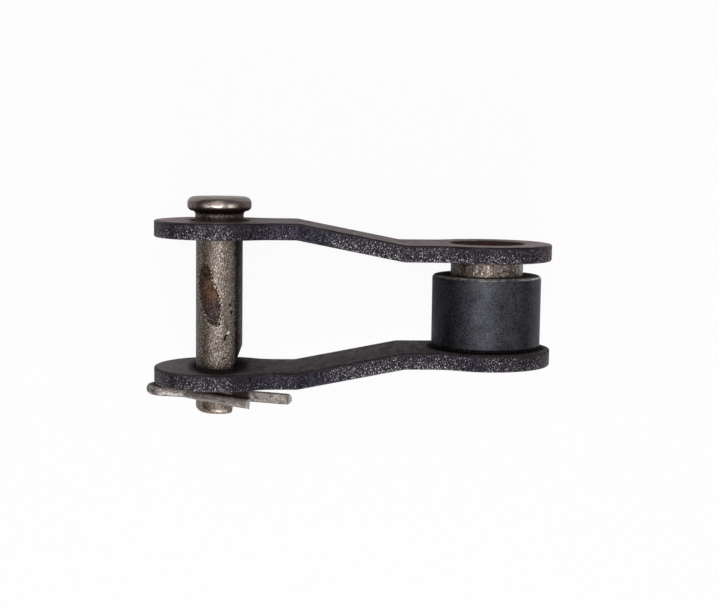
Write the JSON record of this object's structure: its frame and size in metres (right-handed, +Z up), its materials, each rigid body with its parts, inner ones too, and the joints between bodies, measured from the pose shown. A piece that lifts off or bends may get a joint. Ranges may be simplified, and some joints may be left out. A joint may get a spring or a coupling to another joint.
{
  "type": "roller chain offset link",
  "caption": "Cranked side plates joined by a bush and roller at the narrow end and a headed pin with a split cotter at the wide end.",
  "frame": {"origin": "middle of the bush's bore, halfway between the side plates", "axes": "+X from the connecting pin to the bush, +Y along the bush and pin axes towards the pin's head, +Z up, with the link lying on its plates' long edges"},
  "size_m": [0.0626, 0.0332, 0.02],
  "materials": {
    "plate_steel": "blackened, smooth faces with torn punched edges",
    "bush_steel": "turned, worn and pitted",
    "roller_steel": "blackened satin with a worn rim",
    "pin_steel": "turned, worn, with rust stains and pits",
    "cotter_steel": "dull drawn wire"
  },
  "bodies": {
    "link": {"upper_offset_plate": "plate_steel", "lower_offset_plate": "plate_steel", "bushing": "bush_steel"},
    "roller": {"roller": "roller_steel"},
    "pin": {"connecting_pin": "pin_steel"},
    "cotter": {"cotter": "cotter_steel"}
  },
  "joints": [
    {"name": "roller_spin", "type": "hinge", "parent": "link", "child": "roller", "pos_m": [0, 0, 0], "axis": [0, 1, 0], "continuous": true},
    {"name": "pin_float", "type": "slide", "parent": "link", "child": "pin", "axis": [0, 1, 0], "range_m": [-0.00025, 0.00015]},
    {"name": "cotter_draw", "type": "slide", "parent": "pin", "child": "cotter", "axis": [-0.9968, 0.0802, 0], "range_m": [0, 0.0155]}
  ]
}
